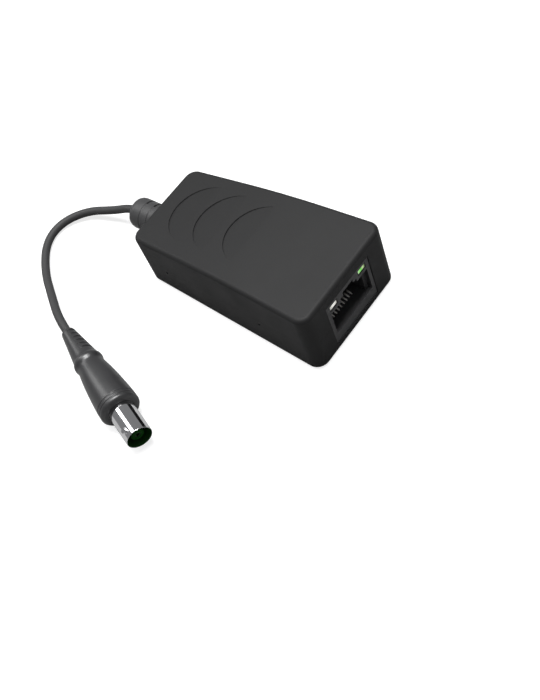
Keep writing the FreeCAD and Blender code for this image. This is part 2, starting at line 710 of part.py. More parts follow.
def leaded_package(name, x_low, x_high, y_low, y_high, height, leads, along):
    """A moulded package under the board, with a row of feet out of two sides."""
    case = box(name + "_case", x_low, x_high, y_low, y_high, "dim.jack_top - %s - dim.stand_off" % height,
               "dim.jack_top - dim.stand_off")
    feet = []
    low, high = (y_low, y_high) if along == "y" else (x_low, x_high)
    for number in range(leads):
        share = (number + 0.5) / leads
        start = "%s + ((%s) - (%s)) * %.5f - dim.lead_width / 2" % (low, high, low, share)
        spans = (start, start + " + dim.lead_width")
        foot_name = "%s_foot_%d" % (name, number)
        if along == "y":
            across = (x_low + " - dim.lead_foot", x_high + " + dim.lead_foot")
            feet.append(box(foot_name, *across, *spans, "dim.jack_top - dim.lead_width", "dim.jack_top"))
        else:
            across = (y_low + " - dim.lead_foot", y_high + " + dim.lead_foot")
            feet.append(box(foot_name, *spans, *across, "dim.jack_top - dim.lead_width", "dim.jack_top"))
    return node(fuse(name, [case] + feet), name)


TRANSFORMER_BACK = "(dim.jack_back - dim.part_gap - dim.lead_foot - dim.transformer_width)"
TRANSFORMER_SIDE = "(dim.part_gap * 2 - dim.board_half)"
leaded_package("network_transformer", TRANSFORMER_BACK, TRANSFORMER_BACK + " + dim.transformer_width",
               TRANSFORMER_SIDE, TRANSFORMER_SIDE + " + dim.transformer_length",
               "dim.transformer_height", 8, "y")
CHIP_BACK = "(%s - dim.lead_foot * 2 - dim.part_gap / 2 - dim.chip_size)" % TRANSFORMER_BACK
leaded_package("modem_chip", CHIP_BACK, CHIP_BACK + " + dim.chip_size",
               "-dim.chip_size / 2", "dim.chip_size / 2", "dim.chip_height", 10, "x")

COUPLER_BACK = "(dim.board_rear + dim.rear_post_setback + dim.stake_radius + dim.part_gap)"
BESIDE_CHIP = "(dim.chip_size / 2 + dim.lead_foot + dim.part_gap)"
coupler_case = box("coupler_case", COUPLER_BACK, COUPLER_BACK + " + dim.coupler_size",
                   "-%s - dim.coupler_size" % BESIDE_CHIP, "-" + BESIDE_CHIP,
                   "dim.jack_top - dim.coupler_height", "dim.jack_top")
coupler_bobbin = box("coupler_bobbin", COUPLER_BACK + " + dim.bobbin_inset",
                     COUPLER_BACK + " + dim.coupler_size - dim.bobbin_inset",
                     "-%s - dim.coupler_size - dim.bobbin_reach" % BESIDE_CHIP,
                     "-%s + dim.bobbin_reach" % BESIDE_CHIP,
                     "dim.jack_top - dim.coupler_height + dim.bobbin_drop",
                     "dim.jack_top - dim.bobbin_drop")
node(fuse("coupling_transformer", [coupler_case, coupler_bobbin]), "coupling_transformer")

coil_case = box("coil_case", COUPLER_BACK, COUPLER_BACK + " + dim.coil_size", BESIDE_CHIP,
                BESIDE_CHIP + " + dim.coil_size", "dim.jack_top - dim.coil_height", "dim.jack_top")
node(coil_case, "power_inductor")

capacitor_along = TRANSFORMER_BACK + " + dim.transformer_width / 2"
capacitor_across = "(dim.board_half - dim.capacitor_radius - dim.capacitor_gap)"
can = rod("can", "dim.capacitor_radius", "dim.capacitor_height - dim.capacitor_foot", capacitor_along,
          capacitor_across, "dim.jack_top - dim.capacitor_height", "z")
can_base = box("can_base", capacitor_along + " - dim.capacitor_radius",
               capacitor_along + " + dim.capacitor_radius",
               capacitor_across + " - dim.capacitor_radius", capacitor_across + " + dim.capacitor_radius",
               "dim.jack_top - dim.capacitor_foot", "dim.jack_top")
node(fuse("capacitor", [can, can_base]), "capacitor")

# The crystal sits between the inductor and the board's rear edge.
CRYSTAL_BACK = "dim.board_rear + dim.crystal_setback"
crystal = box("crystal", CRYSTAL_BACK, CRYSTAL_BACK + " + dim.crystal_width",
              BESIDE_CHIP, BESIDE_CHIP + " + dim.crystal_length",
              "dim.jack_top - dim.crystal_height", "dim.jack_top")
node(crystal, "crystal")

# The strain relief in the rear wall: body, neck in the wall, flange inside

REAR = "(-dim.half_length)"
gland_end = "(-dim.half_length - dim.gland_length)"
gland_profile = [
    (gland_end, "0"),
    (REAR + " + dim.wall + dim.flange_length", "0"),
    (REAR + " + dim.wall + dim.flange_length", "dim.flange_radius"),
    (REAR + " + dim.wall + dim.jack_clearance", "dim.flange_radius"),
    (REAR + " + dim.wall + dim.jack_clearance", "dim.neck_radius"),
    (REAR, "dim.neck_radius"),
    (REAR, "dim.gland_radius"),
    (gland_end, "dim.gland_radius"),
]
gland_body = revolved("gland_body", gland_profile)
gland_rims = end_rims(gland_body, -size("half_length") - size("gland_length"), size("gland_radius"))
fillet(gland_body, "gland_rounding", gland_rims, "dim.gland_rounding")
gland_body.setExpression("Placement.Base.z", "dim.gland_height")


def flex_slots(name, count, first, pitch, width, depth, reach, middle_z):
    """Staggered slots across a strain relief, top and bottom, then both sides."""
    slots = []
    for number in range(count):
        turn = number % 2
        along = "%s - (%s) - %d * (%s) / 2" % (REAR, first, number, pitch)
        inner = "(%s) - (%s)" % (reach, depth)
        wide = "(%s)" % reach
        for side, near, far in (("high", inner, wide + " + dim.overcut"),
                                ("low", "-(%s) - dim.overcut" % wide, "-(%s)" % inner)):
            slot_name = "%s_%d_%s" % (name, number, side)
            if turn:
                slots.append(box(slot_name, "%s - (%s)" % (along, width), along, "-" + wide, wide,
                                 "%s + %s" % (middle_z, near), "%s + %s" % (middle_z, far)))
            else:
                slots.append(box(slot_name, "%s - (%s)" % (along, width), along, near, far,
                                 "%s - %s" % (middle_z, wide), "%s + %s" % (middle_z, wide)))
    return slots


gland_slots = flex_slots("gland_slot", 8, "dim.slot_first", "dim.slot_pitch", "dim.slot_width",
                         "dim.slot_depth", "dim.gland_radius", "dim.gland_height")
node(cut("gland", gland_body, gland_slots), "gland")

# The coax lead: its free stretch, and the end that runs on inside the box to the board

PLUG_HEADING = -19.94
PLUG_PITCH = 2.0
plug_turn = FreeCAD.Rotation(FreeCAD.Vector(0, 0, 1), PLUG_HEADING).multiply(
    FreeCAD.Rotation(FreeCAD.Vector(0, 1, 0), PLUG_PITCH))
plug_way = plug_turn.multVec(FreeCAD.Vector(1, 0, 0))
# The hood's widest ring stands on the floor, and the plug's front face is ahead of it.
rest_height = size("hood_radius") * math.cos(math.radians(PLUG_PITCH)) + size("moulding_clearance")
hood_rest = FreeCAD.Vector(-5.49, -47.54, rest_height)
plug_point = hood_rest + plug_way * size("hood_nose")
tail_point = plug_point - plug_way * size("tail_end")
gland_exit = FreeCAD.Vector(-size("half_length") - size("gland_length"), 0, size("gland_height"))
cable_route = [
    (gland_exit.x, gland_exit.y, gland_exit.z),
    (gland_exit.x - size("lead_front_run"), gland_exit.y, gland_exit.z),
    (-55.4, -1.9, 2.9),
    (-61.1, -7.0, 1.8),
    (-63.2, -13.0, 1.4),
    (-62.1, -19.4, 1.2),
    (-58.1, -24.5, 1.2),
    (-49.8, -28.3, 2.8),
    tuple(tail_point - plug_way * size("lead_last_run")),
    tuple(tail_point),
]
tube("cable", cable_route, size("cable_radius"))
print("cable route", [tuple(round(v, 2) for v in p) for p in cable_route])

inner_start = -size("half_length") + size("wall") + size("flange_length")
lead_level = size("jack_top") - size("cable_radius") - size("lead_drop")
strip_end = size("board_rear") - size("solder_inset")
lead_route = [
    (inner_start, 0, size("gland_height")),
    (inner_start + size("jacket_rear_run"), 0, size("gland_height")),
    (strip_end - size("jacket_front_run"), 0, lead_level),
    (strip_end, 0, lead_level),
]
tube("coax_jacket_end", lead_route, size("cable_radius"))
solder_place = size("board_rear") + size("solder_inset")
solder_face = size("jack_top") - size("moulding_clearance")
for end_name, end_across, end_radius in (("coax_core_end", size("core_side"), size("core_radius")),
                                         ("coax_braid_end", -size("drain_side"), size("drain_radius"))):
    tube(end_name, [(strip_end, end_across, lead_level), (solder_place, end_across, lead_level),
                    (solder_place, end_across, solder_face)], end_radius)

# The moulded coax plug, modelled along X with its front face at the origin, then laid down

# Three rings of the flank: how far back, and how much of the swell over the waist is left.
FLANK = ((0.29, 0.86), (0.58, 0.59), (0.87, 0.18))
hood_profile = [
    ("-dim.tail_end", "0"),
    ("0", "0"),
    ("0", "dim.hood_radius"),
    ("-dim.hood_nose", "dim.hood_radius"),
]
for back, swell in FLANK:
    hood_profile.append(("-dim.hood_nose - dim.hood_run * %s" % back,
                         "dim.waist_radius + (dim.hood_radius - dim.waist_radius) * %s" % swell))
hood_profile += [
    ("-dim.hood_back", "dim.waist_radius"),
    ("-dim.hood_back - dim.collar_run * 0.3", "dim.collar_radius"),
    ("-dim.hood_back - dim.collar_run * 0.7", "dim.collar_radius"),
    ("-dim.tail_root", "dim.tail_root_radius"),
    ("-dim.tail_end + 0.5", "dim.tail_end_radius"),
    ("-dim.tail_end", "dim.tail_end_radius - 0.3"),
]
hood_body = revolved("hood_body", hood_profile)
nose_rims = end_rims(hood_body, 0, size("hood_radius"))
fillet(hood_body, "hood_rounding", nose_rims, "dim.hood_nose * 0.95")


def placed_in_plug(obj):
    """Lays a piece of the plug down where the lead ends."""
    obj.Placement = FreeCAD.Placement(plug_point, plug_turn).multiply(obj.Placement)
    return obj


def turned_about_x(angle):
    """A placement that only turns about the plug's own axis."""
    return FreeCAD.Placement(FreeCAD.Vector(), FreeCAD.Rotation(FreeCAD.Vector(1, 0, 0), angle))


# Notches across two opposite sides of the tail, the upper ones towards the box.
NOTCH_TURN = -45.0
NOTCH_COUNT = 6
notches = []
for number in range(NOTCH_COUNT):
    behind = "(dim.notch_first + %d * dim.notch_pitch)" % number
    surface = "(dim.tail_end_radius + dim.tail_swell * %s / dim.tail_run)" % behind
    start = "-dim.tail_end + " + behind
    for side, low, high in (("upper", "%s - dim.notch_depth" % surface, surface + " + dim.overcut"),
                            ("lower", "-%s - dim.overcut" % surface, "dim.notch_depth - " + surface)):
        notches.append(box("notch_%s_%d" % (side, number), start, start + " + dim.notch_width",
                           "-dim.hood_radius", "dim.hood_radius", low, high))
notch_set = fuse("notch_set", notches)
notch_set.Placement = turned_about_x(NOTCH_TURN)

SLACK = "dim.moulding_clearance"
barrel_seat = rod("barrel_seat", "dim.barrel_radius + " + SLACK,
                  "dim.barrel_root + dim.overcut + " + SLACK,
                  "-dim.barrel_root - " + SLACK, "0", "0", "x")
ferrule_seat = rod("ferrule_seat", "dim.ferrule_radius + " + SLACK,
                   "dim.ferrule_length + dim.overcut + " + SLACK,
                   "-dim.barrel_root - dim.ferrule_length - 2 * " + SLACK, "0", "0", "x")
plug_hood = cut("plug_hood", hood_body, [notch_set, barrel_seat, ferrule_seat])
node(placed_in_plug(plug_hood), "plug_hood")

# The chromed barrel: one open tube with a floor and two bayonet lugs.
RIM = "dim.barrel_length"
barrel_profile = [
    ("-dim.barrel_root", "dim.contact_tube_radius + dim.floor_gap"),
    ("-dim.barrel_root", "dim.barrel_radius"),
    (RIM + " - dim.rim_chamfer", "dim.barrel_radius"),
    (RIM, "dim.barrel_radius - dim.rim_chamfer"),
    (RIM, "dim.barrel_bore + dim.rim_chamfer"),
    (RIM + " - dim.rim_chamfer", "dim.barrel_bore"),
    (RIM + " - dim.barrel_floor", "dim.barrel_bore"),
    (RIM + " - dim.barrel_floor", "dim.contact_tube_radius + dim.floor_gap"),
]
barrel_body = revolved("barrel_body", barrel_profile)
lugs = []
lug_length = "dim.barrel_radius + dim.lug_reach - dim.barrel_bore - dim.rim_chamfer"
for side, start in (("left", "dim.barrel_bore + dim.rim_chamfer"),
                    ("right", "-dim.barrel_radius - dim.lug_reach")):
    lugs.append(rod("lug_" + side, "dim.lug_radius", lug_length, RIM + " - dim.lug_place", "0", start, "z"))
coax_barrel = fuse("coax_barrel", [barrel_body] + lugs)
LUG_TURN = 35.0
coax_barrel.Placement = turned_about_x(LUG_TURN)
node(placed_in_plug(coax_barrel), "coax_barrel")

# The green dielectric round the centre contact, standing on the barrel's floor.
DIE_FRONT = "dim.barrel_length - dim.dielectric_setback"
DIE_BACK = "dim.barrel_length - dim.barrel_floor"
dielectric = revolved("dielectric", [
    (DIE_BACK, "dim.contact_tube_radius"), (DIE_BACK, "dim.dielectric_radius"),
    (DIE_FRONT + " - 0.2", "dim.dielectric_radius"), (DIE_FRONT, "dim.dielectric_radius - 0.2"),
    (DIE_FRONT, "dim.contact_tube_radius")])
node(placed_in_plug(dielectric), "dielectric")

centre_contact = revolved("centre_contact", [
    ("-dim.barrel_root - dim.contact_tube_tail", "0"),
    ("-dim.barrel_root - dim.contact_tube_tail", "dim.contact_tube_radius - " + SLACK),
    (DIE_FRONT + " - 0.1", "dim.contact_tube_radius - " + SLACK),
    (DIE_FRONT + " - 0.1", "dim.contact_tube_bore"),
    (DIE_FRONT + " - dim.contact_tube_depth", "dim.contact_tube_bore"),
    (DIE_FRONT + " - dim.contact_tube_depth", "0")])
node(placed_in_plug(centre_contact), "centre_contact")

ferrule = revolved("crimp_ferrule", [
    ("-dim.barrel_root - dim.ferrule_length", "dim.contact_tube_radius + 0.1"),
    ("-dim.barrel_root - dim.ferrule_length", "dim.ferrule_radius"),
    ("-dim.barrel_root - " + SLACK, "dim.ferrule_radius"),
    ("-dim.barrel_root - " + SLACK, "dim.contact_tube_radius + 0.1")])
node(placed_in_plug(ferrule), "crimp_ferrule")

doc.recompute()

# Checks, then one STEP file a piece

for obj in doc.Objects:
    for word in ("Invalid", "Error"):
        if word in obj.State:
            raise RuntimeError("%s is %s" % (obj.Name, word))
for piece in NODES:
    if piece.Shape.isNull() or not piece.Shape.isValid():
        raise RuntimeError(piece.Label + " has no valid shape")
os.makedirs("parts", exist_ok=True)
for piece in NODES:
    piece.Shape.exportStep("parts/%s.step" % piece.Label)
print(len(NODES), "pieces written")
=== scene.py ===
# %% [markdown]
# # Ethernet over coax extender
# A small charcoal box with an RJ45 socket in its front end and a short coax lead out of its
# rear end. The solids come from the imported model, which stays where it is. This script gives
# every solid its finish, and puts finer pieces in place of the ones that show most. Blender
# counts in metres. Most sizes are given here in millimetres and multiplied by MM. Places in the
# scene, the lead and the grain are given in metres.

# %% Load the fixed frame
import math

import bmesh
import bpy
from mathutils import Matrix, Vector


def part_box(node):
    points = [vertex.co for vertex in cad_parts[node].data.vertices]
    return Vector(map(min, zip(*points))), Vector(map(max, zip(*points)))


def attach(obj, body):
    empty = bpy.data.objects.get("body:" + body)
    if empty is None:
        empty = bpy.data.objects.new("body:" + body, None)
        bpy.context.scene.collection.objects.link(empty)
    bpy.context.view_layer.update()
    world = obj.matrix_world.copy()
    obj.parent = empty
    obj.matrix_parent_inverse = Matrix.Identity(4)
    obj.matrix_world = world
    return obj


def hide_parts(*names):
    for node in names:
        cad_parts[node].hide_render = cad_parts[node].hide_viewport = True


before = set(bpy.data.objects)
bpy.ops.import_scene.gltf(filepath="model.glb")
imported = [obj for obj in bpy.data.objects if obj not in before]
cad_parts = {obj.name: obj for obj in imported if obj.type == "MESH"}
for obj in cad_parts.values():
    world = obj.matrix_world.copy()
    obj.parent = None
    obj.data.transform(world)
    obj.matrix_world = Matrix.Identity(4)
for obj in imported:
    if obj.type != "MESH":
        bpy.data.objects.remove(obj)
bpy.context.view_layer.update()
MM = 0.001

# %% [markdown]
# ## The camera
# The photograph looks down on the box from its front end, with the camera tipped sideways so
# that the box runs across the picture. The angles were fitted to the box's corners, and the
# lens to how its sides draw together. The camera's axes are written out as a matrix, because
# a tip about the viewing line is awkward to say in plain turns about X, Y and Z.

# %% Place the camera
TARGET = Vector((0.02006, -0.0202, 0.010))
CAMERA_DISTANCE = 0.2327
CAMERA_ANGLES = (57.8, 52.7, -25.3)
FOCAL_PIXELS = 1053.7
PICTURE_HEIGHT = 700.0
SENSOR_WIDTH = 36.0
NEAREST_SEEN, FARTHEST_SEEN = 0.01, 20.0

azimuth, elevation, tip = (math.radians(angle) for angle in CAMERA_ANGLES)
away = Vector((math.sin(azimuth) * math.cos(elevation), -math.cos(azimuth) * math.cos(elevation),
               math.sin(elevation)))
level = (-away).cross(Vector((0, 0, 1))).normalized()
rise = level.cross(-away)
camera_x = math.cos(tip) * level + math.sin(tip) * rise
camera_y = math.cos(tip) * rise - math.sin(tip) * level

camera_data = bpy.data.cameras.new("photo_camera")
camera_data.sensor_width = SENSOR_WIDTH
camera_data.lens = FOCAL_PIXELS * SENSOR_WIDTH / PICTURE_HEIGHT
camera_data.clip_start, camera_data.clip_end = NEAREST_SEEN, FARTHEST_SEEN
camera = bpy.data.objects.new("photo_camera", camera_data)
bpy.context.scene.collection.objects.link(camera)
axes = Matrix((camera_x, camera_y, away)).transposed()
camera.matrix_world = Matrix.Translation(TARGET + away * CAMERA_DISTANCE) @ axes.to_4x4()
bpy.context.scene.camera = camera
print("camera at", [round(v, 4) for v in camera.matrix_world.translation])
print("lens", round(camera_data.lens, 2))

# %% [markdown]
# ## Shared effects
# Moulded plastic, rubber and board share two effects, so each is a node group that is built
# once. Grain is the fine texture that a spark-eroded mould leaves. Its height is meant for a
# Bump node. Mottle is a slow, faint change over the surface, as handling and the flow of the
# plastic leave it. A picture of real plastic could carry both, but a noise pattern has no
# seams and stays sharp however close the camera comes.

# %% Build the grain group
GRAIN_SCALE, GRAIN_DETAIL, GRAIN_ROUGHNESS = 4000.0, 3.0, 0.6


def add_node(tree, kind, values=None):
    """A new node with some of its input values set."""
    made = tree.nodes.new(kind)
    for socket, value in (values or {}).items():
        made.inputs[socket].default_value = value
    return made


def new_group(name, inputs, outputs):
    """An empty shader node group with named number sockets, and its two end nodes."""
    group = bpy.data.node_groups.new(name, "ShaderNodeTree")
    group.interface.new_socket("Position", in_out="INPUT", socket_type="NodeSocketVector")
    for socket, value in inputs:
        made = group.interface.new_socket(socket, in_out="INPUT", socket_type="NodeSocketFloat")
        made.default_value = value
    for socket in outputs:
        group.interface.new_socket(socket, in_out="OUTPUT", socket_type="NodeSocketFloat")
    return group, group.nodes.new("NodeGroupInput"), group.nodes.new("NodeGroupOutput")


grain_group, grain_in, grain_out = new_group("mould_grain", [("Scale", GRAIN_SCALE)], ["Height"])
pits = add_node(grain_group, "ShaderNodeTexNoise", {"Detail": GRAIN_DETAIL, "Roughness": GRAIN_ROUGHNESS})
grain_group.links.new(grain_in.outputs["Position"], pits.inputs["Vector"])
grain_group.links.new(grain_in.outputs["Scale"], pits.inputs["Scale"])
grain_group.links.new(pits.outputs["Fac"], grain_out.inputs["Height"])
print("node group:", grain_group.name)

# %% Build the mottle group
MOTTLE_SCALE, MOTTLE_AMOUNT, MOTTLE_DETAIL = 120.0, 0.12, 4.0
MOTTLE_LOW, MOTTLE_HIGH = 0.25, 0.75

mottle_group, mottle_in, mottle_out = new_group(
    "slow_mottle", [("Scale", MOTTLE_SCALE), ("Amount", MOTTLE_AMOUNT)], ["Darken", "Roughen"])
clouds = add_node(mottle_group, "ShaderNodeTexNoise", {"Detail": MOTTLE_DETAIL})
mottle_group.links.new(mottle_in.outputs["Position"], clouds.inputs["Vector"])
mottle_group.links.new(mottle_in.outputs["Scale"], clouds.inputs["Scale"])
for output, low, high in (("Darken", MOTTLE_LOW, MOTTLE_HIGH), ("Roughen", MOTTLE_HIGH, MOTTLE_LOW)):
    spread = add_node(mottle_group, "ShaderNodeMapRange", {"From Min": low, "From Max": high})
    strength = mottle_group.nodes.new("ShaderNodeMath")
    strength.operation = "MULTIPLY"
    mottle_group.links.new(clouds.outputs["Fac"], spread.inputs["Value"])
    mottle_group.links.new(spread.outputs["Result"], strength.inputs[0])
    mottle_group.links.new(mottle_in.outputs["Amount"], strength.inputs[1])
    mottle_group.links.new(strength.outputs["Value"], mottle_out.inputs[output])
print("node group:", mottle_group.name)

# %% [markdown]
# ## The shell's finish
# The shells are charcoal plastic with a coarse mould grain, which keeps them from shining. The
# mottle darkens the colour and shifts the roughness a little, and the grain gives the bump.
# All the other finishes are the same idea with other numbers, so one function makes them all,
# where copied nodes would drift apart. What stays the same all over a surface, such as
# metalness, is set on the shader itself. The patterns read Object coordinates, which keep
# their true size on every piece.

# %% Make the shell's finish
DARKEST_SHARE = 0.4
ROUGHEN_SHARE = 0.8
FINE_GRAIN, COARSE_GRAIN = 0.000004, 0.000012


def mix_colours(tree, first, second):
    """A node that goes from one colour to another as its Factor rises."""
    made = tree.nodes.new("ShaderNodeMix")
    made.data_type = "RGBA"
    made.inputs["A"].default_value = (*first, 1.0)
    made.inputs["B"].default_value = (*second, 1.0)
    return made


def place_group(tree, group, where, values):
    """A shared group placed in a material, with its own values and the Object coordinates."""
    placed = tree.nodes.new("ShaderNodeGroup")
    placed.node_tree = group
    for socket, value in values.items():
        placed.inputs[socket].default_value = value
    tree.links.new(where.outputs["Object"], placed.inputs["Position"])
    return placed


def finish_material(name, colour, roughness, metallic=0.0, mottle=MOTTLE_AMOUNT,
                    mottle_scale=MOTTLE_SCALE, grain=FINE_GRAIN, specular=0.5):
    """A procedural finish from the two shared groups."""
    material = bpy.data.materials.new(name)
    material.use_nodes = True
    tree = material.node_tree
    shader = tree.nodes["Principled BSDF"]
    shader.inputs["Metallic"].default_value = metallic
    shader.inputs["Specular IOR Level"].default_value = specular
    where = tree.nodes.new("ShaderNodeTexCoord")

    slow = place_group(tree, mottle_group, where, {"Scale": mottle_scale, "Amount": mottle})
    tint = mix_colours(tree, colour, [channel * DARKEST_SHARE for channel in colour])
    tree.links.new(slow.outputs["Darken"], tint.inputs["Factor"])
    tree.links.new(tint.outputs["Result"], shader.inputs["Base Color"])

    rough = tree.nodes.new("ShaderNodeMath")
    rough.operation = "MULTIPLY_ADD"
    rough.inputs[1].default_value = ROUGHEN_SHARE
    rough.inputs[2].default_value = roughness
    tree.links.new(slow.outputs["Roughen"], rough.inputs[0])
    tree.links.new(rough.outputs["Value"], shader.inputs["Roughness"])

    if grain:
        fine = place_group(tree, grain_group, where, {"Scale": GRAIN_SCALE})
        bump = add_node(tree, "ShaderNodeBump", {"Distance": grain})
        tree.links.new(fine.outputs["Height"], bump.inputs["Height"])
        tree.links.new(bump.outputs["Normal"], shader.inputs["Normal"])
    return material


shell_plastic = finish_material("charcoal_shell", (0.0155, 0.0155, 0.0158), 0.56, grain=COARSE_GRAIN,
                                specular=0.25)
print("finish:", shell_plastic.name, "nodes:", len(shell_plastic.node_tree.nodes))

# %% [markdown]
# ## The other finishes
# The socket is smoother and a little lighter than the shells. Its port is painted darker, as painted
# shade.
# The hood is glossier rubber than the lead's jacket, so that a long lamp draws a streak along it.
# The parts inside the box could stay plain, but whoever opens it sees them, so each takes the
# finish that such a part usually has.

# %% Make the finishes that show
socket_plastic = finish_material("socket_grey", (0.062, 0.061, 0.063), 0.45)
# Painted shade for the inside of the socket's port.
port_painted_shade = finish_material("painted_port_shade", (0.045, 0.045, 0.046), 0.5, specular=0.4)
relief_rubber = finish_material("relief_rubber", (0.042, 0.042, 0.043), 0.42)
jacket_rubber = finish_material("lead_jacket", (0.04, 0.04, 0.041), 0.55, mottle_scale=60.0,
                                specular=0.35)
hood_rubber = finish_material("hood_rubber", (0.025, 0.025, 0.026), 0.32, specular=0.75)
barrel_nickel = finish_material("barrel_nickel", (0.84, 0.84, 0.85), 0.06, metallic=1.0,
                                mottle=0.03, grain=0)
green_insulator = finish_material("green_insulator", (0.003, 0.07, 0.002), 0.6, specular=0.1)
# Painted shade for the barrel's bore, tinted green as a painted reflection of the insulator.
bore_painted_shade = finish_material("painted_bore_shade", (0.005, 0.045, 0.004), 0.6, specular=0.1)
# Painted shade: the centre contact is coloured dark green, like the shaded bore round it.
contact_painted_shade = finish_material("contact_painted_shade", (0.006, 0.035, 0.004), 0.5, specular=0.2)
# The contact strips' plating. A later cell paints shade on it behind the front bend.
strip_plating_and_shade = finish_material("strip_plating_and_shade", (1.0, 0.97, 0.9), 0.4, metallic=0.2, mottle=0.02)
print("finishes:", len(bpy.data.materials))

# %% Make the finishes inside the box
dull_nickel = finish_material("dull_nickel", (0.55, 0.55, 0.55), 0.35, metallic=1.0)
bare_copper = finish_material("bare_copper", (0.75, 0.38, 0.2), 0.3, metallic=1.0)
solder_mask = finish_material("solder_mask", (0.01, 0.11, 0.03), 0.3, mottle_scale=400.0)
package_black = finish_material("package_black", (0.014, 0.014, 0.015), 0.45)
winding_tape = finish_material("winding_tape", (0.5, 0.32, 0.06), 0.4, mottle=0.2)
ferrite_grey = finish_material("ferrite_grey", (0.05, 0.05, 0.052), 0.6)
drawn_aluminium = finish_material("drawn_aluminium", (0.7, 0.7, 0.71), 0.3, metallic=1.0)
crystal_case = finish_material("plain_metal_lid", (0.6, 0.6, 0.61), 0.25, metallic=1.0)
print("finishes:", len(bpy.data.materials))

# %% [markdown]
# ## Painted shade on the contact strips
# The contact strips are bright only at their front bend, which catches the light. Behind it their colour
# is painted dark, as painted shade for the shade of the port that falls on them. Two finishes side by
# side would do, but the border between them would be hard. A range of the X coordinate gives a soft
# one, and the rest of the finish stays as the helper made it.

# %% Paint shade on the contact strips behind their front bend
STRIP_FULL_SHADE_AT, STRIP_NO_SHADE_AT = 23.1, 24.3
STRIP_PAINTED_SHADE = (0.035, 0.034, 0.031)

strip_tree = strip_plating_and_shade.node_tree
strip_shader = strip_tree.nodes["Principled BSDF"]
plating = strip_shader.inputs["Base Color"].links[0].from_socket
strip_place = strip_tree.nodes.new("ShaderNodeTexCoord")
strip_axes = strip_tree.nodes.new("ShaderNodeSeparateXYZ")
fade = add_node(strip_tree, "ShaderNodeMapRange", {"From Min": STRIP_FULL_SHADE_AT * MM,
                                                   "From Max": STRIP_NO_SHADE_AT * MM})
# Painted shade: the strips go from the plating to a dark colour towards the back of the port.
strip_shade_mix = mix_colours(strip_tree, STRIP_PAINTED_SHADE, STRIP_PAINTED_SHADE)
strip_tree.links.new(strip_place.outputs["Object"], strip_axes.inputs["Vector"])
strip_tree.links.new(strip_axes.outputs["X"], fade.inputs["Value"])
strip_tree.links.new(fade.outputs["Result"], strip_shade_mix.inputs["Factor"])
strip_tree.links.new(plating, strip_shade_mix.inputs["B"])
strip_tree.links.new(strip_shade_mix.outputs["Result"], strip_shader.inputs["Base Color"])
print("strips fade over", round(STRIP_NO_SHADE_AT - STRIP_FULL_SHADE_AT, 2), "mm")

# %% [markdown]
# ## Lit lenses
# Both lamps of the socket are on. A lens glows palest over its small chip and goes dark where
# the window hides it. A plain glow would look like paint, so a colour ramp across the lens
# sets five shades, which the shader puts out as its own light.

# %% Make the two lenses
LAMP_ACROSS, LENS_HALF_WIDTH = 5.5, 1.25
LENS_ROUGHNESS, LENS_GLOW = 0.2, 0.8
INNER_STOPS = (0.25, 0.5, 0.75)


def lit_lens(name, middle, shades):
    """A clear lens with its lamp on, in five shades along Y."""
    material = finish_material(name, shades[2], LENS_ROUGHNESS, grain=0)
    tree = material.node_tree
    shader = tree.nodes["Principled BSDF"]
    where = tree.nodes.new("ShaderNodeTexCoord")
    split = tree.nodes.new("ShaderNodeSeparateXYZ")
    along = add_node(tree, "ShaderNodeMapRange", {"From Min": (middle - LENS_HALF_WIDTH) * MM,
                                                  "From Max": (middle + LENS_HALF_WIDTH) * MM})
    glow = tree.nodes.new("ShaderNodeValToRGB")
    for place in INNER_STOPS:
        glow.color_ramp.elements.new(place)
    for element, shade in zip(glow.color_ramp.elements, shades):
        element.color = (*shade, 1.0)
    tree.links.new(where.outputs["Object"], split.inputs["Vector"])
    tree.links.new(split.outputs["Y"], along.inputs["Value"])
    tree.links.new(along.outputs["Result"], glow.inputs["Fac"])
    tree.links.new(glow.outputs["Color"], shader.inputs["Emission Color"])
    shader.inputs["Emission Strength"].default_value = LENS_GLOW
    return material


lamp_green = lit_lens("lamp_green", LAMP_ACROSS, [
    (0.62, 0.85, 0.5), (0.3, 0.75, 0.2), (0.1, 0.6, 0.04), (0.6, 0.62, 0.4), (0.06, 0.08, 0.01)])
lamp_clear = lit_lens("lamp_clear", -LAMP_ACROSS, [
    (0.2, 0.2, 0.17), (0.6, 0.6, 0.55), (0.9, 0.9, 0.85), (0.75, 0.75, 0.7), (0.3, 0.29, 0.26)])
print("finishes:", len(bpy.data.materials))

# %% [markdown]
# ## Smooth copies of the solids
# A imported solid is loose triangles, which is right for measuring and wrong for a close look.
# A copy of it is merged, its flat parts are dissolved into whole faces, and a narrow bevel
# rounds the edges that a mould leaves slightly soft. The bevel could be cut into the mesh, but
# as a modifier it leaves the shape simple, and the evened shading keeps flat faces flat beside
# it. Every finer mesh goes into the scene through the same helper, and rides with the body.

# %% Define the smooth copy
WELD_DISTANCE = 0.002
FLAT_ANGLE = 0.4
COPY_BEVEL, COPY_BEND = 0.08, 30.0
BEVEL_STEPS = 2


def make_piece(shape, name, material, bevel, bend):
    """Makes a shape a piece of the body, its edges softened where they bend more than bend."""
    mesh = bpy.data.meshes.new(name)
    shape.to_mesh(mesh)
    shape.free()
    piece = bpy.data.objects.new(name, mesh)
    bpy.context.scene.collection.objects.link(piece)
    mesh.materials.clear()
    mesh.materials.append(material)
    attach(piece, "root")
    mesh.shade_smooth()
    if bevel:
        rounding = piece.modifiers.new("soft edges", "BEVEL")
        rounding.width = bevel * MM
        rounding.segments = BEVEL_STEPS
        rounding.limit_method = "ANGLE"
        rounding.angle_limit = math.radians(bend)
        rounding.harden_normals = True
    weigh = piece.modifiers.new("even shading", "WEIGHTED_NORMAL")
    weigh.keep_sharp = True
    print(name, "faces:", len(mesh.polygons))
    return piece


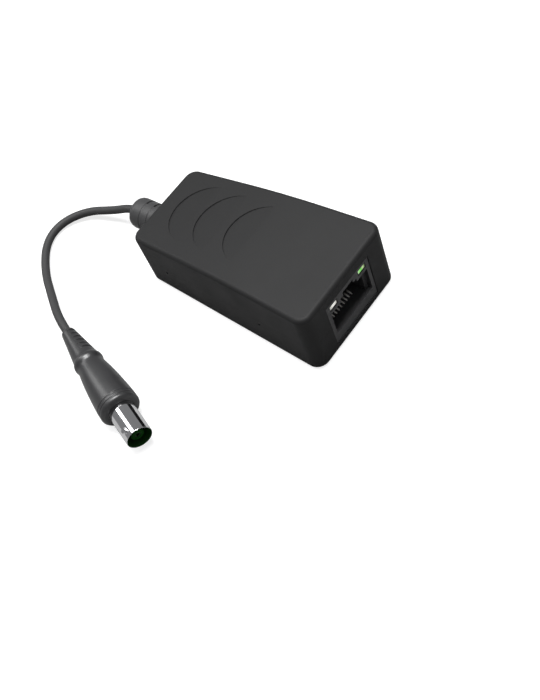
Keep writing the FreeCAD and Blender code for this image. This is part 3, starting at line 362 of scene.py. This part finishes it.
def smooth_copy(node, name, material, reshape=None):
    """A clean, softly bevelled copy of a solid, which stands for it."""
    shape = bmesh.new()
    shape.from_mesh(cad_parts[node].data)
    bmesh.ops.remove_doubles(shape, verts=shape.verts, dist=WELD_DISTANCE * MM)
    bmesh.ops.dissolve_limit(shape, angle_limit=math.radians(FLAT_ANGLE), verts=shape.verts,
                             edges=shape.edges)
    if reshape:
        reshape(shape)
    piece = make_piece(shape, name, material, COPY_BEVEL, COPY_BEND)
    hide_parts(node)
    return piece


for node in ("top_shell", "bottom_shell", "jack_housing"):
    print(node, "loose triangles:", len(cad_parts[node].data.polygons))

# %% [markdown]
# ## The lid
# The real lid is level in front and falls to the rear, without a crease between the two. Its
# three crescents are shallow, and show as thin dark lines. The solid has a crease and deeper
# crescents, so the copy is cut across into strips and its upper skin is let down by a parabola
# round the crease. In the same pass the crescents' floors are lifted. A fillet could ease the
# crease too, but would have to run through the crescents.

# %% Make the lid and the tray
LID_HEIGHT, LID_BEND, LID_SLOPE = 18.3, 1.25, 2.8 / 29.6
LID_SKIN = 1.2
BEND_REACH, BEND_CUTS, CUT_WELD = 12.0, 12, 0.01
CRESCENT_SHARE = 0.55
CRESCENT_LEAST, CRESCENT_MOST = 0.01, 0.7
CRESCENT_REAR, CRESCENT_FRONT, CRESCENT_SIDE = -24.5, 4.5, 9.8


def soften_lid(shape):
    """Eases the lid's bend into a slow curve and lifts the floors of its shallow crescents."""
    for number in range(BEND_CUTS + 1):
        cut = (LID_BEND - BEND_REACH + 2 * BEND_REACH * number / BEND_CUTS) * MM
        bmesh.ops.bisect_plane(shape, geom=shape.verts[:] + shape.edges[:] + shape.faces[:],
                               plane_co=(cut, 0, 0), plane_no=(1, 0, 0))
    bmesh.ops.remove_doubles(shape, verts=shape.verts, dist=CUT_WELD * MM)
    for vertex in shape.verts:
        x, y, z = (value / MM for value in vertex.co)
        lid_level = LID_HEIGHT - LID_SLOPE * max(0.0, LID_BEND - x)
        sunk = lid_level - z
        if sunk > LID_SKIN:
            continue
        in_zone = CRESCENT_REAR < x < CRESCENT_FRONT and abs(y) < CRESCENT_SIDE
        if in_zone and CRESCENT_LEAST < sunk < CRESCENT_MOST:
            z = lid_level - sunk * CRESCENT_SHARE
        near = max(0.0, BEND_REACH - abs(x - LID_BEND))
        vertex.co.z = (z - LID_SLOPE * near * near / (4 * BEND_REACH)) * MM


smooth_copy("top_shell", "lid", shell_plastic, soften_lid)
smooth_copy("bottom_shell", "tray", shell_plastic)

# %% [markdown]
# ## The socket
# Seen from the front, the socket is a grey face round a dark port. The two are one moulding
# in one plastic, but little light comes out of the port. More light in the scene would only
# fill it, so every face behind the front one is painted darker, as painted shade, and the port
# reads as deep from any side.

# %% Make the socket body
FACE_DEPTH = 0.4


def second_finish(piece, material, chosen):
    """Gives another finish to the faces whose centres pass a test."""
    piece.data.materials.append(material)
    for face in piece.data.polygons:
        if chosen(face.center):
            face.material_index = 1


socket_body = smooth_copy("jack_housing", "socket_body", socket_plastic)
socket_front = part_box("jack_housing")[1][0]
# Painted shade: every face behind the socket's front face takes the dark port colour.
second_finish(socket_body, port_painted_shade, lambda centre: centre.x < socket_front - FACE_DEPTH * MM)
print("socket front at", round(socket_front / MM, 2), "mm")

# %% [markdown]
# ## Turned shapes
# The plug, its barrel and the strain relief are all round, so each is one chain of points
# spun about X. Slots are then sunk as regions of the spun faces, which keeps them part of the
# same closed skin. Cutting them with a boolean would also do, but leaves ragged faces.

# %% Define the turned shapes
SPIN_WELD = 0.0001
TURNED_BEND = 35.0


def turned(profile, steps, closed=False):
    """A shape turned about X from a chain of (along, radius) points in millimetres."""
    shape = bmesh.new()
    chain = [shape.verts.new((along * MM, 0.0, radius * MM)) for along, radius in profile]
    pairs = list(zip(chain, chain[1:])) + ([(chain[-1], chain[0])] if closed else [])
    edges = [shape.edges.new(pair) for pair in pairs]
    bmesh.ops.spin(shape, geom=chain + edges, cent=(0, 0, 0), axis=(1, 0, 0), dvec=(0, 0, 0),
                   angle=math.tau, steps=steps, use_merge=True, use_duplicate=False)
    bmesh.ops.remove_doubles(shape, verts=shape.verts, dist=SPIN_WELD * MM)
    bmesh.ops.recalc_face_normals(shape, faces=shape.faces)
    return shape


def turn_of(point):
    """How far round the X axis a point lies, in degrees from straight up."""
    return math.degrees(math.atan2(-point.y, point.z))


def sink_slots(shape, stretches, sides, half_turn, wall, depth):
    """Sinks slots round a turned shape, each over a stretch of X and a turn to both sides."""
    for low, high in stretches:
        for side in sides:
            region = []
            for face in shape.faces:
                middle = face.calc_center_median()
                off = (turn_of(middle) - side + 180.0) % 360.0 - 180.0
                if low * MM < middle.x < high * MM and abs(off) < half_turn:
                    region.append(face)
            bmesh.ops.inset_region(shape, faces=region, thickness=wall * MM, depth=-depth * MM,
                                   use_even_offset=True, use_boundary=True)


def turned_piece(shape, name, material, place, bevel):
    """Carries a turned shape to its place and makes it a piece."""
    bmesh.ops.transform(shape, matrix=place, verts=shape.verts)
    return make_piece(shape, name, material, bevel, TURNED_BEND)


print("+Y lies at a turn of", turn_of(Vector((0, 1, 0))), "degrees")

# %% [markdown]
# ## The plug's own frame
# The plug lies on the table with its nose a little down. Its parts could be turned about that
# tilted line at once, but they are easier to think out lying along X about the origin, and are
# then carried to their place by one matrix. The front face of the hood is the origin of that
# frame, and the barrel points along its +X.

# %% Set the plug's frame
PLUG_FRONT = Vector((-0.0046445, -0.0478467, 0.0049356))
PLUG_HEADING, PLUG_NOSE_DOWN = -19.94, 2.0
PLUG = (Matrix.Translation(PLUG_FRONT) @ Matrix.Rotation(math.radians(PLUG_HEADING), 4, "Z")
        @ Matrix.Rotation(math.radians(PLUG_NOSE_DOWN), 4, "Y"))
print("plug heading", PLUG_HEADING, "nose down", PLUG_NOSE_DOWN)

# %% [markdown]
# ## The hood
# The rubber hood is one soft moulding: a flat round front with two fine rings behind it, a
# flank that draws in like a trumpet, a low collar, and a slim tail that is notched on two
# sides so that it can bend. Separate turned parts would leave seams where they meet, so one
# outline runs from the tail to the front, and the notches are sunk into it afterwards.

# %% Make the hood
HOOD_STEPS, HOOD_BEVEL = 96, 0.06
HOOD_RINGS = (-2.45, -1.5)
RING_OUTLINE = ((-0.02, 4.925), (0.1, 4.81), (0.24, 4.81), (0.36, 4.935))
NOTCHES = 6
NOTCH_FIRST, NOTCH_PITCH, NOTCH_WIDTH, NOTCH_DEPTH, NOTCH_WALL = -28.0, 1.5, 0.6, 0.2, 0.04
NOTCH_SIDES, NOTCH_HALF_TURN = (-45.0, 135.0), 37.0
TAIL_START, TAIL_LENGTH, TAIL_RADIUS, TAIL_GROWTH = -28.5, 10.3, 1.75, 1.55

notches = []
for number in range(NOTCHES):
    start = NOTCH_FIRST + number * NOTCH_PITCH
    notches.append((start, start + NOTCH_WIDTH))

outline = [(-29.0, 0.0), (-29.0, 1.3), (-28.93, 1.5), (-28.75, 1.66), (TAIL_START, TAIL_RADIUS)]
for notch in notches:
    for along in notch:
        outline.append((along, TAIL_RADIUS + TAIL_GROWTH * (along - TAIL_START) / TAIL_LENGTH))
outline += [(-19.0, 3.18), (-18.35, 3.29), (-18.05, 3.42), (-17.75, 3.6), (-17.45, 3.68), (-17.1, 3.71),
            (-16.75, 3.68), (-16.45, 3.58), (-16.15, 3.46), (-15.7, 3.45), (-15.0, 3.53), (-14.0, 3.7),
            (-12.5, 3.95), (-11.0, 4.16), (-9.66, 4.32), (-8.0, 4.49), (-6.5, 4.63), (-5.28, 4.73),
            (-4.0, 4.83), (-2.75, 4.91)]
for ring in HOOD_RINGS:
    outline += [(ring + step, radius) for step, radius in RING_OUTLINE]
outline += [(-0.85, 4.95), (-0.52, 4.88), (-0.25, 4.7), (-0.07, 4.43), (0.0, 4.1), (0.0, 3.6),
            (0.0, 3.25), (-0.4, 3.22), (-0.4, 0.0)]

hood_shape = turned(outline, HOOD_STEPS)
sink_slots(hood_shape, notches, NOTCH_SIDES, NOTCH_HALF_TURN, NOTCH_WALL, NOTCH_DEPTH)
hood = turned_piece(hood_shape, "coax_hood", hood_rubber, PLUG, HOOD_BEVEL)
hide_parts("plug_hood")

# %% [markdown]
# ## The strain relief
# Where the lead enters the box it runs through a short rubber plug with a round nose. Three
# shallow grooves run round it, and on two sides they are slit deeper so that it can flex. The
# waist and flange, which the wall grips, could be left out because they don't show, but they
# are part of the same outline and cost nothing.

# %% Make the strain relief
RELIEF_STEPS, RELIEF_BEVEL = 96, 0.05
RELIEF_HEIGHT = 5.9
RELIEF_RADIUS, GROOVE_RADIUS = 4.1, 3.95
GROOVES, GROOVE_HALF_MOUTH, GROOVE_HALF_FLOOR = (-36.9, -34.3, -31.7), 0.32, 0.2
SLIT_SIDES, SLIT_HALF_TURN, SLIT_HALF_WIDTH = (-38.0, 142.0), 24.0, 0.15
SLIT_DEPTH, SLIT_WALL = 0.55, 0.02

outline = [(-41.35, 0.0), (-41.35, 1.3), (-41.35, 2.2), (-41.28, 2.8), (-41.05, 3.3), (-40.6, 3.76),
           (-40.1, 4.0), (-39.5, RELIEF_RADIUS), (-38.4, RELIEF_RADIUS)]
for groove in GROOVES:
    outline += [(groove - GROOVE_HALF_MOUTH, RELIEF_RADIUS), (groove - GROOVE_HALF_FLOOR, GROOVE_RADIUS),
                (groove + GROOVE_HALF_FLOOR, GROOVE_RADIUS), (groove + GROOVE_HALF_MOUTH, RELIEF_RADIUS)]
outline += [(-30.0, RELIEF_RADIUS), (-28.35, RELIEF_RADIUS), (-28.35, 3.0), (-26.85, 3.0),
            (-26.85, 4.0), (-25.35, 4.0), (-25.35, 0.0)]

relief_shape = turned(outline, RELIEF_STEPS)
slits = [(groove - SLIT_HALF_WIDTH, groove + SLIT_HALF_WIDTH) for groove in GROOVES]
sink_slots(relief_shape, slits, SLIT_SIDES, SLIT_HALF_TURN, SLIT_WALL, SLIT_DEPTH)
relief = turned_piece(relief_shape, "strain_relief", relief_rubber,
                      Matrix.Translation((0, 0, RELIEF_HEIGHT * MM)), RELIEF_BEVEL)
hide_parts("gland")

# %% [markdown]
# ## The barrel
# A bayonet coax jack has a thin nickel-plated tube with two short studs. A plain cylinder with
# a wall would do, but its rim would not flare inside, so the tube is a spin of its closed
# outline. The studs are short cylinders with a rounded top. The inside is painted dark, as painted
# shade for the deep bore that little light reaches, and tinted green as a painted reflection of the
# insulator.

# %% Make the barrel
BARREL_STEPS = 160
STUD_TURNS, STUD_ALONG, STUD_RADIUS, STUD_SIDES = (35.0, 215.0), 6.9, 0.7, 40
STUD_MIDDLE, STUD_HEIGHT, STUD_ROUNDING, STUD_ROUNDING_STEPS = 3.3, 0.9, 0.12, 3
BORE_START, BORE_RADIUS = 3.2, 3.1

tube_outline = [(-3.9, 1.3), (-3.9, 3.2), (0.0, 3.2), (4.0, 3.2), (8.8, 3.2), (8.87, 3.18), (8.9, 3.14),
                (8.88, 3.08), (8.6, 2.98), (7.9, 2.8), (7.2, 2.7), (3.3, 2.7), (3.3, 1.3)]
barrel_shape = turned(tube_outline, BARREL_STEPS, closed=True)
top_radius = (STUD_MIDDLE + STUD_HEIGHT / 2) * MM
for turn in STUD_TURNS:
    stud = (Matrix.Rotation(math.radians(turn), 4, "X")
            @ Matrix.Translation((STUD_ALONG * MM, 0, STUD_MIDDLE * MM)))
    made = bmesh.ops.create_cone(barrel_shape, cap_ends=True, segments=STUD_SIDES,
                                 radius1=STUD_RADIUS * MM, radius2=STUD_RADIUS * MM,
                                 depth=STUD_HEIGHT * MM, matrix=stud)
    tops = [edge for edge in barrel_shape.edges if all(v in made["verts"] for v in edge.verts)
            and all(abs(math.hypot(v.co.y, v.co.z) - top_radius) < STUD_ROUNDING * MM for v in edge.verts)
            and any(len(face.verts) > 4 for face in edge.link_faces)]
    bmesh.ops.bevel(barrel_shape, geom=tops, offset=STUD_ROUNDING * MM, offset_type="OFFSET",
                    segments=STUD_ROUNDING_STEPS, profile=0.5, affect="EDGES", material=-1)
barrel = turned_piece(barrel_shape, "coax_shell", barrel_nickel, PLUG, bevel=0.0)
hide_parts("coax_barrel")

# %% Paint shade into the barrel's bore
plug_inverse = PLUG.inverted()


def in_bore(centre):
    """True for a face on the inside of the tube."""
    spot = plug_inverse @ centre
    return spot.x > BORE_START * MM and math.hypot(spot.y, spot.z) < BORE_RADIUS * MM


# Painted shade with a painted green reflection on the faces inside the tube.
second_finish(barrel, bore_painted_shade, in_bore)
print("bore faces:", sum(face.material_index for face in barrel.data.polygons))

# %% [markdown]
# ## Finishes for the solids that stay
# The pieces inside the box and the small contacts already have the right shape. Finer copies
# of them would show nothing more, so they keep their solids and only take a finish.

# %% Dress the remaining solids
kept = {
    "circuit_board": solder_mask, "network_transformer": package_black, "modem_chip": package_black,
    "coupling_transformer": winding_tape, "power_inductor": ferrite_grey, "capacitor": drawn_aluminium,
    "crystal": crystal_case, "coax_jacket_end": jacket_rubber, "coax_core_end": bare_copper,
    "coax_braid_end": bare_copper, "dielectric": green_insulator, "centre_contact": contact_painted_shade,
    "crimp_ferrule": dull_nickel, "lamp_left": lamp_green, "lamp_right": lamp_clear,
}
for number in range(1, 9):
    kept["jack_contact_%d" % number] = strip_plating_and_shade
for node, material in kept.items():
    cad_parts[node].data.materials.clear()
    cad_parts[node].data.materials.append(material)
print("dressed:", len(kept))

# %% [markdown]
# ## Frames round the lamps
# Each lamp looks out through a small window, and the black edge of the window is what makes
# the lamp read as a lamp. Four thin bars could frame it, but they would meet in seams. So the
# frame is a grid face with its middle taken out, given a wall.

# %% Make the lamp frames
FRAME_WIDTH, FRAME_HEIGHT, FRAME_BORDER = 3.06, 1.56, 0.3
FRAME_THICKNESS, FRAME_BEVEL = 0.1, 0.04
LAMP_HEIGHT, FRAME_PROUD = 13.45, 0.07

lamp_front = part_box("lamp_left")[1][0]
for side, across in (("left", LAMP_ACROSS), ("right", -LAMP_ACROSS)):
    frame_shape = bmesh.new()
    bmesh.ops.create_grid(frame_shape, x_segments=1, y_segments=1, size=0.5)
    bmesh.ops.scale(frame_shape, vec=(FRAME_WIDTH * MM, FRAME_HEIGHT * MM, 1.0), verts=frame_shape.verts)
    bmesh.ops.inset_region(frame_shape, faces=frame_shape.faces[:], thickness=FRAME_BORDER * MM,
                           depth=0.0, use_even_offset=True, use_boundary=True)
    window = min(frame_shape.faces, key=lambda face: face.calc_center_median().length)
    bmesh.ops.delete(frame_shape, geom=[window], context="FACES_ONLY")
    bmesh.ops.solidify(frame_shape, geom=frame_shape.faces[:], thickness=FRAME_THICKNESS * MM)
    bmesh.ops.recalc_face_normals(frame_shape, faces=frame_shape.faces)
    stand = (Matrix.Translation((lamp_front + FRAME_PROUD * MM, across * MM, LAMP_HEIGHT * MM))
             @ Matrix.Rotation(math.radians(90), 4, "X") @ Matrix.Rotation(math.radians(90), 4, "Y"))
    bmesh.ops.transform(frame_shape, matrix=stand, verts=frame_shape.verts)
    make_piece(frame_shape, "lamp_frame_" + side, package_black, FRAME_BEVEL, TURNED_BEND)

# %% [markdown]
# ## The coax lead
# The lead leaves the strain relief level, comes down to the table in one loose turn, and rises
# a little into the tail of the hood. It is a smooth spline through the same control points
# that the solid lead was laid along, given the lead's own thickness. A spline bends evenly
# everywhere, as a rubber jacket does, where arcs and straight runs would show their joints.

# %% Lay the coax lead
LEAD_RADIUS = 0.0011
LEAD_ROUTE = [
    (-0.04135, 0.0, 0.0059), (-0.04378, 0.0, 0.0059), (-0.0503, -0.00143, 0.00335),
    (-0.05877, -0.00407, 0.00193), (-0.06383, -0.01019, 0.00134), (-0.0632, -0.01747, 0.00119),
    (-0.0561, -0.02511, 0.00129), (-0.04576, -0.03121, 0.00354), (-0.03696, -0.03612, 0.00614),
    (-0.03189, -0.03796, 0.00595),
]
lead_line = bpy.data.curves.new("coax_lead", "CURVE")
lead_line.dimensions = "3D"
spline = lead_line.splines.new("NURBS")
spline.points.add(len(LEAD_ROUTE) - 1)
for point, place in zip(spline.points, LEAD_ROUTE):
    point.co = (*place, 1.0)
spline.order_u = 3
spline.use_endpoint_u = True
spline.resolution_u = 16
lead_line.bevel_depth = LEAD_RADIUS
lead_line.bevel_resolution = 8
lead_line.use_fill_caps = True
lead = bpy.data.objects.new("coax_lead", lead_line)
bpy.context.scene.collection.objects.link(lead)
lead_line.materials.append(jacket_rubber)
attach(lead, "root")
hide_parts("cable")
print("lead points:", len(LEAD_ROUTE))

# %% [markdown]
# ## The floor
# The set stands on plain white paper. Paper bright enough to look white also throws much light
# up at the dark box, and fills its shaded sides. So the camera sees a paper that glows a
# little and still takes a soft shadow, and all other rays meet a darker one. A Light Path node
# tells the two kinds of ray apart.

# %% Lay the floor
FLOOR_REACH = 3.0

floor_shape = bmesh.new()
bmesh.ops.create_grid(floor_shape, x_segments=1, y_segments=1, size=FLOOR_REACH)
floor_mesh = bpy.data.meshes.new("floor")
floor_shape.to_mesh(floor_mesh)
floor_shape.free()
floor = bpy.data.objects.new("floor", floor_mesh)
bpy.context.scene.collection.objects.link(floor)
print("floor:", 2 * FLOOR_REACH, "m across")

# %% Make the floor's paper
PAPER_WHITE = 0.93
PAPER_GLOW, GLOW_SHARE = 1.35, 0.55
BOUNCE_GREY, GLOSSY_GREY = 0.1, 0.33

floor_paper = bpy.data.materials.new("floor_paper")
floor_paper.use_nodes = True
tree = floor_paper.node_tree
tree.nodes.clear()
rays = tree.nodes.new("ShaderNodeLightPath")
shadowed = add_node(tree, "ShaderNodeBsdfDiffuse", {"Color": (PAPER_WHITE, PAPER_WHITE, PAPER_WHITE, 1.0)})
glow = add_node(tree, "ShaderNodeEmission", {"Strength": PAPER_GLOW})
seen = add_node(tree, "ShaderNodeMixShader", {"Fac": GLOW_SHARE})
bounce_tint = mix_colours(tree, (BOUNCE_GREY,) * 3, (GLOSSY_GREY,) * 3)
bounce = tree.nodes.new("ShaderNodeBsdfDiffuse")
either = tree.nodes.new("ShaderNodeMixShader")
paper_out = tree.nodes.new("ShaderNodeOutputMaterial")
tree.links.new(rays.outputs["Is Glossy Ray"], bounce_tint.inputs["Factor"])
tree.links.new(bounce_tint.outputs["Result"], bounce.inputs["Color"])
tree.links.new(shadowed.outputs["BSDF"], seen.inputs[1])
tree.links.new(glow.outputs["Emission"], seen.inputs[2])
tree.links.new(rays.outputs["Is Camera Ray"], either.inputs["Fac"])
tree.links.new(bounce.outputs["BSDF"], either.inputs[1])
tree.links.new(seen.outputs["Shader"], either.inputs[2])
tree.links.new(either.outputs["Shader"], paper_out.inputs["Surface"])
floor_mesh.materials.append(floor_paper)
print("paper nodes:", len(tree.nodes))

# %% [markdown]
# ## Light
# A wide soft light overhead gives the lid its even tone. A long strip to the left draws the
# white band on the barrel and the streak along the hood. It is large and not very bright, as a
# small strong lamp would burn a ragged edge into the nickel. The sky is even and pale, so that
# the shaded sides still read.

# %% Light the set
ROOM_COLOUR, ROOM_LIGHT = (0.97, 0.98, 1.0, 1.0), 0.22


def softbox(name, place, aim, width, depth, power):
    """Adds a rectangular soft light at a place, turned to a point."""
    light = bpy.data.lights.new(name, "AREA")
    light.shape = "RECTANGLE"
    light.size = width
    light.size_y = depth
    light.energy = power
    lamp = bpy.data.objects.new(name, light)
    bpy.context.scene.collection.objects.link(lamp)
    lamp.location = place
    lamp.rotation_euler = (Vector(aim) - Vector(place)).to_track_quat("-Z", "Y").to_euler()


softbox("overhead", place=(-0.04, 0.12, 0.83), aim=(0, -0.01, 0), width=0.4, depth=0.4, power=9.3)
softbox("strip", place=(-0.52, -0.10, 0.66), aim=(0, -0.04, 0), width=0.24, depth=0.9, power=2.7)
world = bpy.data.worlds.new("pale_room")
world.use_nodes = True
sky = world.node_tree.nodes["Background"]
sky.inputs["Color"].default_value = ROOM_COLOUR
sky.inputs["Strength"].default_value = ROOM_LIGHT
bpy.context.scene.world = world
bpy.context.scene.view_settings.view_transform = "Standard"
print("lights:", len(bpy.data.lights))
